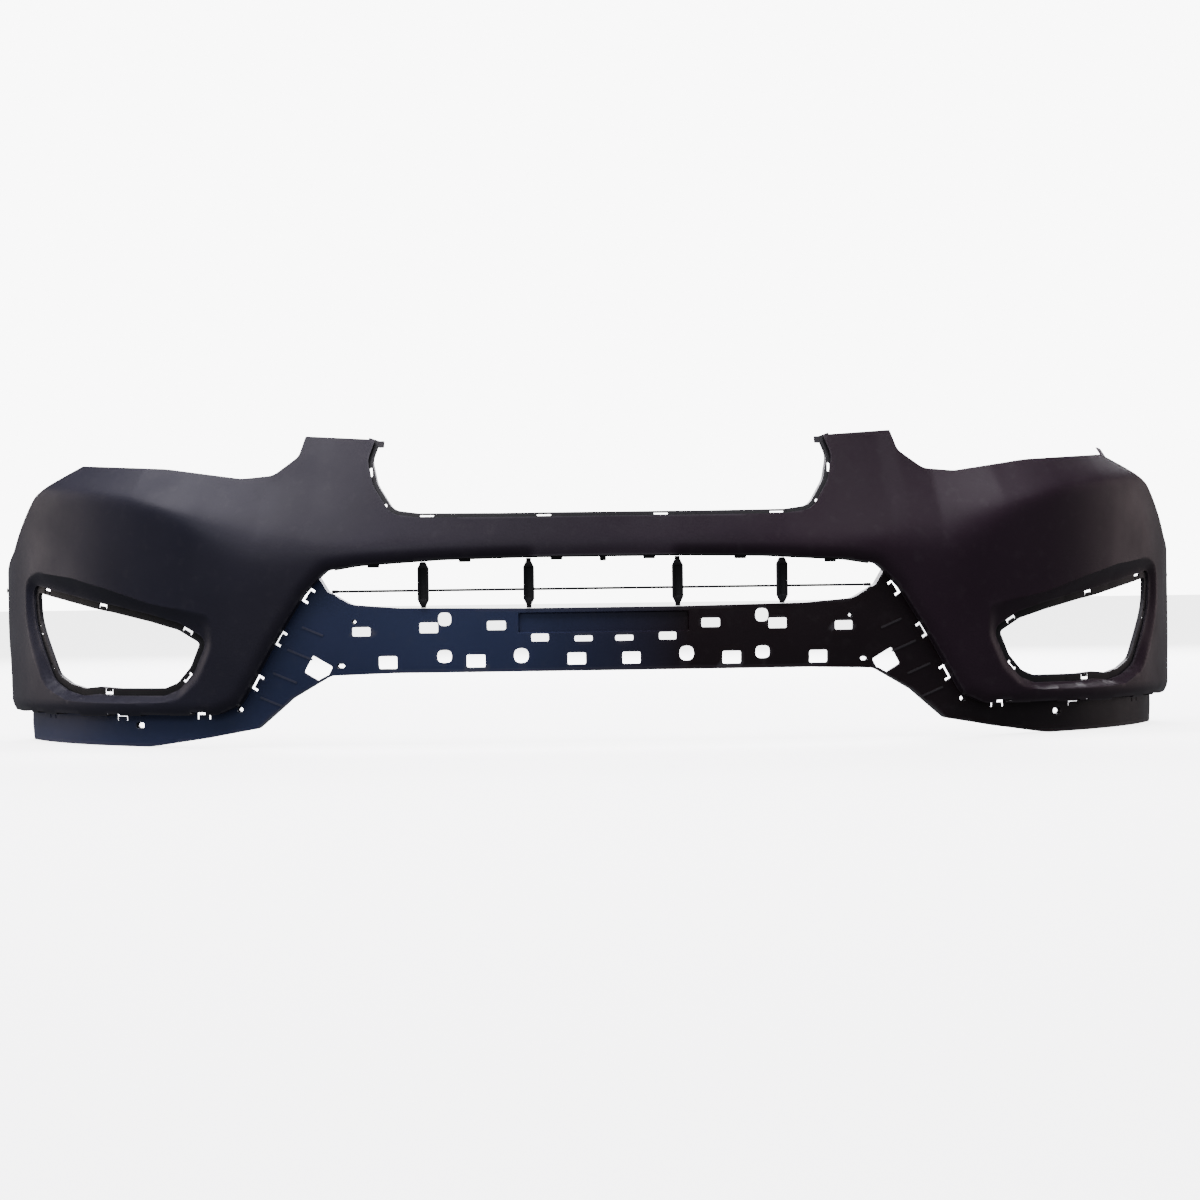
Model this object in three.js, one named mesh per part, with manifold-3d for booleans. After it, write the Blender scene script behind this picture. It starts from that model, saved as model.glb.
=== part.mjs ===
// Front bumper cover of a mid-size SUV, as an assembly of thin plastic parts.
// Millimetres, +Z up, front faces -Y, Z = 0 at the bottom of the two sills.
//
// Every part is first built flat, in the developed plane of the skin:
//   s = distance along the plan curve from the centre, y = depth behind the skin, z = height.
// It is then pushed back by a depth function and bent round the plan curve.

import * as THREE from 'three';
import { mergeVertices } from 'three/addons/utils/BufferGeometryUtils.js';
import Module from 'manifold-3d';

const wasm = await Module();
wasm.setup();

// ---------------------------------------------------------------- driving dimensions (mm)

const HALF_WIDTH = 950;
const WRAP_DEPTH = 620;
const PLAN_SIDE = 3.0;
const PLAN_FRONT = 2.2;

const WALL = 3;
const GAP = 0.35;
const STANDOFF = 2.4;
const BRACKET_STANDOFF = 3.6;
const FACET = 42;
const CENTRE_SHIFT = 287;

const CREASE = [[0, 286], [420, 280], [500, 288], [600, 332], [700, 360], [800, 373], [900, 380], [1300, 382]];
const LEAN = [[0, 0.3], [300, 0.4], [450, 0.5], [620, 0.75], [800, 0.9], [1300, 0.9]];
const CREASE_SOFT = 10;

const APRON_DEPTH = 24;
const APRON_TUCK = 0.12;
const PLATE_HALF = 121;
const PLATE_LOW = 160;
const PLATE_HIGH = 188;
const PLATE_RECESS = 5;

const ROLL_WIDTH = 15;
const ROLL_DEPTH = 6;
const SEAM_LIP = 17.4;
const WING_JOINT = 520;
const EDGE_LIP = 14;

const POCKET_DEPTHS = [[590, 8], [630, 10], [720, 16], [830, 16], [930, 9]];
const POCKET_LAND = 11;
const FRAME_COVER = 21;
const FRAME_WALL = 2.6;
const FRAME_BEAD = 6;

const BRACE_WIDTH = 15.6;
const BRACE_NECK = 7.2;
const BRACE_STRAIGHT = 45;
const BRACE_LENGTH = 62;
const BRACE_HEIGHT = 231;
const BRACE_AT = [-257, -106, 106, 257];
const TAB_AT = [-329, -197, -66, 66, 197, 329];
const TIE_HEIGHT = 222;
const TIE_HALF = 392;

const SCREW_HOLES = [[533, 55, 9, 9], [707, 31, 17, 9], [358, 178.6, 7, 7], [379, 116, 12, 7]];
const SEAM_NOTCHES = [
  [592, 46, 27, 12, 1, 0], [743, 42, 27, 12, 1, 0], [927, 41, 27, 12, 1, 0],
  [664, 42, 52, 11, 1, 0], [846, 41, 64, 12, 1, 0], [985, 41, 40, 12, 1, 0],
];
const RIVETS = [[1194, 220], [1152, 231]];

// ---------------------------------------------------------------- outlines in the developed plane
// Right half of each outline, from low centre to high centre: [s, z, corner radius].

const FASCIA_LOW = [
  [108, 268.7, 0], [230, 266.5, 60], [350, 259.5, 60], [394, 252, 12], [409, 239, 10],
  [431, 216, 10], [472, 154, 60], [506, 98, 60], [528, 62, 30], [562, 48, 30], [800, 44, 60],
];
const FASCIA_REAR = [
  [1078, 45, 6], [1094, 112, 70], [1146, 176, 70], [1252, 208, 8], [1252, 224, 8], [1040, 290, 80],
  [931, 371, 40], [842, 415, 8],
];
const FASCIA_LAMP = [[668, 404.5, 80], [539, 387, 60], [489, 391, 30], [451, 418, 18], [444, 448, 5]];
const GRILLE_EDGE = [
  [331, 440, 4], [341, 410, 30], [330, 372, 40], [302, 331, 30], [262, 325.5, 20], [146, 324.5, 0],
];

const APRON_LOW = [
  [300, 105, 0], [397, 102, 30], [456, 70, 20], [509, 27, 14], [592, 13, 60], [688, 0, 60], [1020, 0, 6],
  [1030, 24, 8],
];
const APRON_TUCKED = [
  [1028, 56, 4], [800, 56, 60], [585, 58, 20], [553, 68, 16], [529, 95, 30], [485, 163, 60],
  [444, 222, 20], [426, 246, 8],
];
const APRON_TOP = [[412, 246, 6], [397, 222, 14], [362, 203, 30], [292, 197.4, 60], [111, 195, 0]];

const POCKET = [
  [566, 190, 20], [665, 208, 60], [745, 230, 60], [826, 248, 60], [926, 258, 40], [976, 246, 30],
  [976, 190, 60], [948, 136, 50], [905, 86, 50], [842, 66, 40], [790, 64, 60], [670, 64, 60],
  [622, 68, 40], [586, 96, 40], [562, 146, 40],
];
const FOG_OPENING = [
  [590, 151, 6], [627, 170, 30], [678, 182, 80], [754, 196, 60], [796, 202, 60], [870, 215, 60],
  [952, 228, 8],
  [947, 188, 60], [918, 146, 60], [889, 104, 30], [855, 90, 20], [822, 84, 12], [785, 87, 30], [742, 85, 20],
  [652, 86, 20], [629, 94, 16], [606, 117, 20],
];
const FOG_SLOTS = [
  [918, 229, 9], [777, 205, 9], [611, 168, 27], [942, 170, 240], [766, 80, 180], [612, 102, 135],
];
const FOG_SLITS = [[905, 115, 14, 4, 1.6, 56], [959.5, 219, 9, 3.5, 1.6, 84]];

// [s, z, width, height, corner radius, turn in degrees] for the right half of the apron.
const WINDOWS = [
  [348, 164.5, 27, 13, 3, 0], [250, 169, 27, 15, 3, 0], [227, 180.8, 19, 19, 8, 0], [153, 171, 27, 13, 3, 0],
  [91, 153, 25, 11, 3, 0], [29, 151, 26, 8, 3, 0],
  [413, 111.4, 34, 28, 3, 30], [310, 120.3, 27, 18, 3, 0], [228, 128, 21, 18, 8, 0], [183, 121, 27, 18, 3, 0],
  [118, 127.8, 21, 21, 10.4, 0], [39, 122.5, 26, 17, 3, 0],
];
const APRON_CLIPS = [
  [425, 217, -56], [468, 156, -58], [505, 93, -60], [592, 46, 0], [743, 42, 0], [927, 41, 0],
];
const FLANK_RIBS = [[420, 166, 34], [440, 133, 40], [464, 100, 38], [486, 66, 34]];
const RIB_TURN = 22;
const GRILLE_HOLES = [
  [250, 328.2, 20, 3.6, 1.2, 0], [83, 327.2, 20, 3.6, 1.2, 0],
  [335, 392, 4, 13, 1.2, -6], [311, 343, 5, 5, 2.4, 0],
];

// ---------------------------------------------------------------- plan curve

const PLAN = tracePlan(1400);

function tracePlan(count) {
  const stations = [{ s: 0, x: 0, y: 0 }];
  for (let i = 1; i <= count; i += 1) {
    const angle = (i / count) * Math.PI / 2;
    const x = HALF_WIDTH * Math.sin(angle) ** (2 / PLAN_SIDE);
    const y = WRAP_DEPTH * (1 - Math.cos(angle) ** (2 / PLAN_FRONT));
    const last = stations[i - 1];
    stations.push({ s: last.s + Math.hypot(x - last.x, y - last.y), x, y });
  }
  return stations;
}

function planPoint(distance) {
  const d = Math.min(distance, PLAN[PLAN.length - 1].s);
  let low = 0;
  let high = PLAN.length - 1;
  while (high - low > 1) {
    const mid = (low + high) >> 1;
    if (PLAN[mid].s <= d) low = mid;
    else high = mid;
  }
  const t = (d - PLAN[low].s) / (PLAN[high].s - PLAN[low].s);
  return [
    THREE.MathUtils.lerp(PLAN[low].x, PLAN[high].x, t),
    THREE.MathUtils.lerp(PLAN[low].y, PLAN[high].y, t),
  ];
}

function bendPoint(s, y, z) {
  const a = Math.abs(s);
  const side = s < 0 ? -1 : 1;
  const [x0, y0] = planPoint(a);
  const [x1, y1] = planPoint(a + 4);
  const [x2, y2] = planPoint(Math.max(a - 4, 0));
  const length = Math.hypot(x1 - x2, y1 - y2);
  const inX = -(y1 - y2) / length;
  const inY = (x1 - x2) / length;
  return [side * (x0 + (a < 4 ? inX * a / 4 : inX) * y), y0 + inY * y - CENTRE_SHIFT, z];
}

// ---------------------------------------------------------------- depth of the skin

function ramp(table, value) {
  for (let i = 1; i < table.length; i += 1) {
    if (value <= table[i][0]) {
      const t = (value - table[i - 1][0]) / (table[i][0] - table[i - 1][0]);
      return THREE.MathUtils.lerp(table[i - 1][1], table[i][1], t);
    }
  }
  return table[table.length - 1][1];
}

function creaseHeight(s) {
  return ramp(CREASE, Math.abs(s));
}

function softStep(value, width) {
  return width * Math.log1p(Math.exp(THREE.MathUtils.clamp(value / width, -40, 40)));
}

function skinDepth(s, z) {
  const above = softStep(z - creaseHeight(s), CREASE_SOFT);
  return ramp(LEAN, Math.abs(s)) * above;
}

function segmentDistance(p, a, b) {
  const dx = b[0] - a[0];
  const dz = b[1] - a[1];
  const along = ((p[0] - a[0]) * dx + (p[1] - a[1]) * dz) / Math.max(dx * dx + dz * dz, 1e-9);
  const t = THREE.MathUtils.clamp(along, 0, 1);
  return Math.hypot(p[0] - a[0] - t * dx, p[1] - a[1] - t * dz);
}

function lineDistance(p, line, closed) {
  let best = Infinity;
  const count = closed ? line.length : line.length - 1;
  for (let i = 0; i < count; i += 1) {
    best = Math.min(best, segmentDistance(p, line[i], line[(i + 1) % line.length]));
  }
  return best;
}

function contains(loop, p) {
  let inside = false;
  for (let i = 0, j = loop.length - 1; i < loop.length; j = i, i += 1) {
    const [ax, az] = loop[i];
    const [bx, bz] = loop[j];
    if ((az > p[1]) !== (bz > p[1]) && p[0] < ((bx - ax) * (p[1] - az)) / (bz - az) + ax) inside = !inside;
  }
  return inside;
}

function pocketFloor(s) {
  return ramp(POCKET_DEPTHS, Math.max(Math.abs(s), POCKET_DEPTHS[0][0]));
}

function pocketDepth(s, z) {
  const p = [Math.abs(s), z];
  if (p[0] < 540 || p[0] > 990 || z > 280 || !contains(POCKET_LOOP, p)) return 0;
  const floor = pocketFloor(s);
  if (contains(LAND_LOOP, p)) return floor;
  const fromRim = lineDistance(p, POCKET_LOOP, true);
  const toLand = lineDistance(p, LAND_LOOP, true);
  const t = fromRim / (fromRim + toLand);
  const brow = 1 - (1 - t) ** 1.5;
  const gutter = t * t * (3 - 2 * t);
  return floor * THREE.MathUtils.lerp(gutter, brow, THREE.MathUtils.smoothstep(z, 120, 190));
}

function rollDepth(s, z) {
  const p = [Math.abs(s), z];
  if (z > 290 || p[0] > 1140) return 0;
  const d = lineDistance(p, LOW_LINE, false);
  return d > ROLL_WIDTH ? 0 : ROLL_DEPTH * (1 - d / ROLL_WIDTH) ** 2;
}

function fasciaDepth(s, z) {
  return skinDepth(s, z) + pocketDepth(s, z) + rollDepth(s, z);
}

function apronDepth(s, z) {
  const tuck = APRON_TUCK * softStep(150 - z, 20) * (1 - THREE.MathUtils.smoothstep(Math.abs(s), 420, 560));
  return skinDepth(s, z) + APRON_DEPTH + tuck + plateDepth(s, z);
}

function plateDepth(s, z) {
  const inSide = Math.abs(s) < PLATE_HALF;
  return inSide && z > PLATE_LOW && z < PLATE_HIGH ? PLATE_RECESS : 0;
}

function frameDepth(s) {
  return pocketFloor(s) + WALL + 2 * GAP;
}

// ---------------------------------------------------------------- plane outlines

function fillet(corners, closed = true) {
  const line = [];
  corners.forEach(([s, z, radius = 0], i) => {
    const isEnd = !closed && (i === 0 || i === corners.length - 1);
    if (radius === 0 || isEnd) {
      line.push([s, z]);
      return;
    }
    const before = corners[(i + corners.length - 1) % corners.length];
    const after = corners[(i + 1) % corners.length];
    const p = new THREE.Vector2(s, z);
    const u = new THREE.Vector2(before[0] - s, before[1] - z);
    const v = new THREE.Vector2(after[0] - s, after[1] - z);
    const half = u.angleTo(v) / 2;
    const reach = Math.min(radius / Math.tan(half), 0.48 * u.length(), 0.48 * v.length());
    const turn = Math.PI - 2 * half;
    if (reach < 0.1) {
      line.push([s, z]);
      return;
    }
    const finest = radius < 4 && closed ? 1.5 : radius < 12 ? 0.7 : 0.36;
    const steps = Math.max(1, Math.min(5, Math.round(turn / finest)));
    const start = p.clone().add(u.setLength(reach));
    const end = p.clone().add(v.setLength(reach));
    new THREE.QuadraticBezierCurve(start, p, end).getPoints(steps).forEach((q) => line.push([q.x, q.y]));
  });
  return line;
}

function mirrored(half) {
  const other = half.map(([s, z, radius]) => [-s, z, radius]).reverse();
  return [...half, ...other];
}

function flipLine(line) {
  return line.map(([s, z, ...rest]) => [-s, z, ...rest]).reverse();
}

function sample(line, step, closed = false) {
  const out = [];
  const count = closed ? line.length : line.length - 1;
  for (let i = 0; i < count; i += 1) {
    const a = line[i];
    const b = line[(i + 1) % line.length];
    const pieces = Math.max(1, Math.ceil(Math.hypot(b[0] - a[0], b[1] - a[1]) / step));
    for (let k = 0; k < pieces; k += 1) {
      out.push([a[0] + (b[0] - a[0]) * k / pieces, a[1] + (b[1] - a[1]) * k / pieces]);
    }
  }
  if (!closed) out.push(line[line.length - 1]);
  return out;
}

// Shifts a line sideways: positive goes to the left of its direction of travel.
function offset(line, distance, closed = false) {
  return line.map((p, i) => {
    const a = line[closed ? (i + line.length - 1) % line.length : Math.max(i - 1, 0)];
    const b = line[closed ? (i + 1) % line.length : Math.min(i + 1, line.length - 1)];
    const u = new THREE.Vector2(p[0] - a[0], p[1] - a[1]).normalize();
    const v = new THREE.Vector2(b[0] - p[0], b[1] - p[1]).normalize();
    const t = u.clone().add(v).normalize();
    const stretch = Math.min(1 / Math.max(t.dot(v.lengthSq() > 0 ? v : u), 0.6), 1.6);
    return [p[0] - t.y * distance * stretch, p[1] + t.x * distance * stretch];
  });
}

function turned(points, s, z, degrees) {
  const c = Math.cos(THREE.MathUtils.degToRad(degrees));
  const k = Math.sin(THREE.MathUtils.degToRad(degrees));
  return points.map(([a, b]) => [s + a * c - b * k, z + a * k + b * c]);
}

function roundBox(width, height, radius) {
  const w = width / 2;
  const h = height / 2;
  return fillet([[-w, -h, radius], [w, -h, radius], [w, h, radius], [-w, h, radius]]);
}

// A U-shaped slot that leaves a snap tongue standing in its middle; the bar of the U is at +z.
function snapSlot(s, z, degrees, width = 23, height = 10) {
  const w = width / 2;
  const h = height / 2;
  const leg = 3.6;
  const outline = [
    [-w, -h], [leg - w, -h], [leg - w, h - leg], [w - leg, h - leg], [w - leg, -h], [w, -h], [w, h], [-w, h],
  ];
  return turned(outline, s, z, degrees);
}

const POCKET_LOOP = fillet(POCKET);
const FOG_LOOP = fillet(FOG_OPENING);
const LAND_LOOP = offset(sample(FOG_LOOP, 30, true), POCKET_LAND, true);
const LOW_LINE = fillet([...FASCIA_LOW, FASCIA_REAR[0]], false);

// ---------------------------------------------------------------- flat solids

const LIFT = 4e-4;

function lift(s, z) {
  return LIFT * (s * s + z * z);
}

function solidFrom(positions, indices, lifted = true) {
  const vertices = Float32Array.from(positions);
  if (lifted) {
    for (let i = 0; i < vertices.length; i += 3) vertices[i + 1] += lift(vertices[i], vertices[i + 2]);
  }
  const triangles = Uint32Array.from(indices);
  return new wasm.Manifold(new wasm.Mesh({ numProp: 3, vertProperties: vertices, triVerts: triangles }));
}

function solidFromGeometry(geometry, lifted = true) {
  const bare = geometry.clone();
  bare.deleteAttribute('normal');
  bare.deleteAttribute('uv');
  const merged = mergeVertices(bare, 1e-4);
  return solidFrom(merged.attributes.position.array, merged.index.array, lifted);
}

// A straight block from an outline, from depth y0 to depth y1.
function block(loop, y0, y1, lifted = false) {
  const shape = new THREE.Shape(loop.map(([s, z]) => new THREE.Vector2(s, z)));
  const geometry = new THREE.ExtrudeGeometry(shape, { depth: y1 - y0, bevelEnabled: false });
  geometry.rotateX(Math.PI / 2);
  geometry.translate(0, y1, 0);
  return solidFromGeometry(geometry, lifted);
}

function cutter(loop) {
  return block(loop, -2500, 2500);
}

// A sheet on a grid of columns and rows, from depth y0 to y1. Row heights may change with s.
function sheet(columns, rowsAt, y0, y1) {
  const rows = columns.map(rowsAt);
  const nz = rows[0].length;
  const ns = columns.length;
  const positions = [];
  columns.forEach((s, i) => rows[i].forEach((z) => positions.push(s, y0, z, s, y1, z)));
  const at = (i, j, k) => 2 * (i * nz + j) + k;
  const indices = [];
  const quad = (a, b, c, d) => indices.push(a, b, c, a, c, d);
  for (let i = 0; i < ns - 1; i += 1) {
    for (let j = 0; j < nz - 1; j += 1) {
      quad(at(i, j, 0), at(i + 1, j, 0), at(i + 1, j + 1, 0), at(i, j + 1, 0));
      quad(at(i, j, 1), at(i, j + 1, 1), at(i + 1, j + 1, 1), at(i + 1, j, 1));
    }
    quad(at(i, 0, 0), at(i, 0, 1), at(i + 1, 0, 1), at(i + 1, 0, 0));
    quad(at(i, nz - 1, 0), at(i + 1, nz - 1, 0), at(i + 1, nz - 1, 1), at(i, nz - 1, 1));
  }
  for (let j = 0; j < nz - 1; j += 1) {
    quad(at(0, j, 0), at(0, j + 1, 0), at(0, j + 1, 1), at(0, j, 1));
    quad(at(ns - 1, j, 0), at(ns - 1, j, 1), at(ns - 1, j + 1, 1), at(ns - 1, j + 1, 0));
  }
  return solidFrom(positions, indices);
}

// A strip between two matching lines, from depth y0 to y1. Line b lies to the left of line a.
function strip(a, b, y0, y1, closed = false) {
  const positions = [];
  a.forEach((p, i) => {
    positions.push(p[0], y0, p[1], b[i][0], y0, b[i][1], p[0], y1, p[1], b[i][0], y1, b[i][1]);
  });
  const indices = [];
  const quad = (p, q, r, t) => indices.push(p, q, r, p, r, t);
  const count = closed ? a.length : a.length - 1;
  for (let i = 0; i < count; i += 1) {
    const m = 4 * i;
    const n = 4 * ((i + 1) % a.length);
    quad(m, n, n + 1, m + 1);
    quad(m + 2, m + 3, n + 3, n + 2);
    quad(m, m + 2, n + 2, n);
    quad(m + 1, n + 1, n + 3, m + 3);
  }
  if (!closed) {
    const e = 4 * (a.length - 1);
    quad(0, 1, 3, 2);
    quad(e, e + 2, e + 3, e + 1);
  }
  return solidFrom(positions, indices);
}

function lip(line, thickness, y0, y1, closed = false) {
  const fine = sample(line, FACET, closed);
  return strip(fine, offset(fine, thickness, closed), y0, y1, closed);
}

function spacedColumns(stops) {
  const columns = [];
  for (let i = 1; i < stops.length; i += 1) {
    const [from, step] = stops[i - 1];
    const to = stops[i][0];
    const pieces = Math.ceil((to - from) / step);
    for (let k = 0; k < pieces; k += 1) columns.push(from + (to - from) * k / pieces);
  }
  columns.push(stops[stops.length - 1][0]);
  return columns;
}

function bothSides(columns) {
  return [...columns.slice(1).map((s) => -s).reverse(), ...columns];
}

// Undoes the lift, pushes back by the depth function and bends round the plan curve.
function finish(name, solid, depthAt, material) {
  const mesh = solid.getMesh();
  const positions = [];
  for (let i = 0; i < mesh.vertProperties.length; i += mesh.numProp) {
    const [s, y, z] = mesh.vertProperties.slice(i, i + 3);
    positions.push(...bendPoint(s, y - lift(s, z) + depthAt(s, z), z));
  }
  const geometry = new THREE.BufferGeometry();
  geometry.setAttribute('position', new THREE.Float32BufferAttribute(positions, 3));
  geometry.setIndex(Array.from(mesh.triVerts));
  geometry.computeVertexNormals();
  const part = new THREE.Mesh(geometry, material);
  part.name = name;
  return part;
}

function plastic(color, roughness = 0.55) {
  return new THREE.MeshStandardMaterial({ color, roughness, metalness: 0 });
}

// ---------------------------------------------------------------- parts

function cutAll(solid, loops) {
  return loops.reduce((rest, loop) => rest.subtract(cutter(loop)), solid);
}

function onBothSides(loops) {
  return [...loops, ...loops.map((loop) => flipLine(loop))];
}

function placedBox([s, z, width, height, radius, degrees]) {
  return turned(roundBox(width, height, radius), s, z, degrees);
}

function circle(s, z, radius, corners = 12) {
  return Array.from({ length: corners }, (_, i) => {
    const angle = (i / corners) * 2 * Math.PI;
    return [s + radius * Math.cos(angle), z + radius * Math.sin(angle)];
  });
}

function screwHole([s, z, width, height]) {
  return placedBox([s, z, width, height, 0.49 * height, 0]);
}

function rivetHole([s, z]) {
  return circle(s, z, 3.4);
}

function fascia() {
  const columns = bothSides(spacedColumns([[0, 68], [540, 34], [980, 44], [1262]]));
  const rowsAt = (s) => {
    const crease = creaseHeight(s);
    const low = [38, 62, 84, 120, 170, 216, 240, 262];
    const high = [0.06, 0.24, 1].map((t) => crease + t * (466 - crease));
    return [...low, crease - 12, ...high];
  };
  const outline = mirrored([...FASCIA_LOW, ...FASCIA_REAR, ...FASCIA_LAMP, ...GRILLE_EDGE]);
  const low = [...FASCIA_LOW, FASCIA_REAR[0]];
  const rear = fillet([...FASCIA_REAR, ...FASCIA_LAMP], false);
  let skin = sheet(columns, rowsAt, 0, WALL).intersect(cutter(fillet(outline)));
  skin = skin.add(lip(fillet([...flipLine(low), ...low], false), 2.6, 1, SEAM_LIP));
  skin = skin.add(lip(rear, 2.6, 1, EDGE_LIP)).add(lip(flipLine(rear), 2.6, 1, EDGE_LIP));
  const tab = placedBox([848, 418, 8, 16, 2, -20]);
  skin = skin.add(block(tab, 0.2, 2.6, true));
  return cutAll(skin, onBothSides([LAND_LOOP, ...SEAM_NOTCHES.map(placedBox), ...RIVETS.map(rivetHole)]));
}

function lowerApron() {
  const columns = bothSides(spacedColumns([
    [0, 62], [PLATE_HALF - 0.7, 2], [PLATE_HALF + 0.7, 60], [540, 46], [1040],
  ]));
  const plateRows = [PLATE_LOW - 1, PLATE_LOW + 1, PLATE_HIGH - 1, PLATE_HIGH + 1];
  const rows = [-6, 64, 112, ...plateRows, 250];
  const outline = fillet(mirrored([...APRON_LOW, ...APRON_TUCKED, ...APRON_TOP]));
  let skin = sheet(columns, () => rows, 0, WALL).intersect(cutter(outline));
  skin = skin.add(lip(outline, 2.6, 1, 17, true));
  [1, -1].forEach((side) => {
    const foot = [[side * 716, 0], [side * 1010, 0]];
    const line = side > 0 ? foot : foot.reverse();
    skin = skin.add(lip(line, 2.6, 1, 30));
    FLANK_RIBS.forEach(([s, z, width]) => {
      skin = skin.add(block(placedBox([side * s, z, width, 3, 1, side * RIB_TURN]), -1, 1, true));
    });
  });
  const holes = [
    ...WINDOWS.map(placedBox),
    ...APRON_CLIPS.map(([s, z, degrees]) => snapSlot(s, z, degrees)),
    ...SCREW_HOLES.map(screwHole),
  ];
  return cutAll(skin, onBothSides(holes));
}

function fogFrame(side) {
  const edge = sample(FOG_LOOP, FACET, true);
  let frame = strip(edge, offset(edge, FRAME_COVER, true), 0, FRAME_WALL, true);
  frame = frame.add(strip(edge, offset(edge, FRAME_WALL, true), 1, FRAME_BEAD, true));
  const slots = FOG_SLOTS.map(([s, z, degrees]) => snapSlot(s, z, degrees, 18, 8));
  frame = cutAll(frame, [...slots, ...FOG_SLITS.map(placedBox)]);
  return side > 0 ? frame : frame.mirror([1, 0, 0]);
}

function grilleFlange() {
  const line = fillet(mirrored(GRILLE_EDGE), false);
  const fine = sample(line, FACET);
  let flange = strip(offset(fine, -6), offset(fine, 11), 0, 2.5);
  flange = flange.add(strip(offset(fine, -6), offset(fine, -3.4), 1, 13));
  [1, -1].forEach((side) => {
    flange = flange.add(block(placedBox([side * 322, 433, 9, 10, 2, 0]), 0.4, 2.2, true));
  });
  return cutAll(flange, onBothSides(GRILLE_HOLES.map(placedBox)));
}

function intakeFlange() {
  const half = [...FASCIA_LOW.slice(0, 3), [386, 254, 0]];
  const line = sample(fillet([...flipLine(half), ...half], false), FACET);
  let flange = strip(offset(line, -2), offset(line, 13), 0, FRAME_WALL);
  TAB_AT.forEach((s) => {
    const z = barBottom(s);
    flange = flange.add(block(placedBox([s, z - 1, 17, 9, 2, 0]), 0.2, 2.4, true));
  });
  return flange.add(block(placedBox([0, 265, 9, 8, 2, 0]), 0.2, 2.4, true));
}

function barBottom(s) {
  return ramp([[0, 268.7], [108, 268.7], [230, 266.5], [350, 259.5], [394, 252]], Math.abs(s));
}

function brace(s) {
  const top = barBottom(s) - 2 - GAP;
  const foot = ramp([[0, 195], [111, 195], [292, 197.4]], Math.abs(s)) + GAP;
  const body = turned(braceOutline(BRACE_WIDTH, BRACE_NECK, BRACE_STRAIGHT, BRACE_LENGTH), s, BRACE_HEIGHT, 0);
  const neck = placedBox([s, (top + foot) / 2, BRACE_NECK, top - foot, 0, 0]);
  const channel = placedBox([s, BRACE_HEIGHT, BRACE_WIDTH - 6.4, BRACE_STRAIGHT - 1, 2, 0]);
  return block(body, 19, 29, true).add(block(neck, 24.4, 26.8, true)).subtract(block(channel, 10, 22, true));
}

// An elongated octagon: full width along its straight middle, narrowed to the neck at both ends.
function braceOutline(width, neck, straight, length) {
  const low = [[neck / 2, -length / 2], [width / 2, -straight / 2]];
  const right = [...low, ...low.map(([a, b]) => [a, -b]).reverse()];
  return [...right, ...right.map(([a, b]) => [-a, b]).reverse()];
}

function tieStrip() {
  const line = sample([[-TIE_HALF, TIE_HEIGHT - 1.3], [TIE_HALF, TIE_HEIGHT - 1.3]], FACET);
  let tie = strip(line, offset(line, 2.6), 31, 43);
  [1, -1].forEach((side) => {
    tie = tie.add(block(placedBox([side * (TIE_HALF - 4), TIE_HEIGHT, 7, 4.6, 1, 0]), 31.5, 42, true));
  });
  return tie;
}

function sideBracket(side) {
  const edge = sample(fillet([[1200, 233, 0], [1040, 287, 80], [932, 364, 40], [866, 398, 0]], false), FACET);
  let bracket = strip(offset(edge, 5), offset(edge, 32), 0, FRAME_WALL);
  bracket = bracket.add(strip(offset(edge, 29.4), offset(edge, 32), 1, 12));
  const slots = [[985, 308, 26, 6, 2.5, -36], [1085, 257, 26, 6, 2.5, -19]];
  bracket = cutAll(bracket, [...slots.map(placedBox), ...RIVETS.map(rivetHole)]);
  return side > 0 ? bracket : bracket.mirror([1, 0, 0]);
}

// A flanged bush behind a screw hole, a little smaller inside than the hole.
function grommet(side, [s, z, width, height]) {
  const plate = block(placedBox([side * s, z, width + 9, height + 8, 2, 0]), 0, 1.4, true);
  const collar = block(screwHole([side * s, z, width + 3, height + 3]), 1, 2.6, true);
  return cutAll(plate.add(collar), [screwHole([side * s, z, width - 1.4, height - 1.4])]);
}

function rivet(side, [s, z]) {
  const head = [[0, -2.4], [3, -2], [5.6, -0.8]];
  const stem = [[2.6, -0.8], [2.6, 9.8], [4.2, 9.8], [4.2, 11.4], [0, 11.4]];
  const profile = [...head, ...stem];
  const points = profile.map(([r, y]) => new THREE.Vector2(r, y));
  const flat = new THREE.LatheGeometry(points, 12).toNonIndexed();
  flat.translate(side * s, 0, z);
  return solidFromGeometry(flat);
}

// ---------------------------------------------------------------- assembly

const cover = new THREE.Group();
cover.name = 'bumper_cover';

function add(name, solid, depthAt, material) {
  cover.add(finish(name, solid, depthAt, material));
}

const skin = fascia();
[['fascia_wing_left', -1300, -WING_JOINT - GAP], ['fascia_centre', -WING_JOINT, WING_JOINT],
  ['fascia_wing_right', WING_JOINT + GAP, 1300]].forEach(([name, from, to]) => {
  add(name, skin.intersect(cutter([[from, 0], [to, 0], [to, 500], [from, 500]])), fasciaDepth, plastic(0x2b272e));
});
add('lower_apron', lowerApron(), apronDepth, plastic(0x272830));
add('grille_flange', grilleFlange(), (s, z) => skinDepth(s, z) + WALL + STANDOFF, plastic(0x1d1c20));
add('intake_flange', intakeFlange(), (s, z) => skinDepth(s, z) + APRON_DEPTH + GAP, plastic(0x1f1e23));
add('tie_strip', tieStrip(), skinDepth, plastic(0x1f1e23));
BRACE_AT.forEach((s, i) => add(`brace_${i + 1}`, brace(s), skinDepth, plastic(0x222127)));

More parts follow.
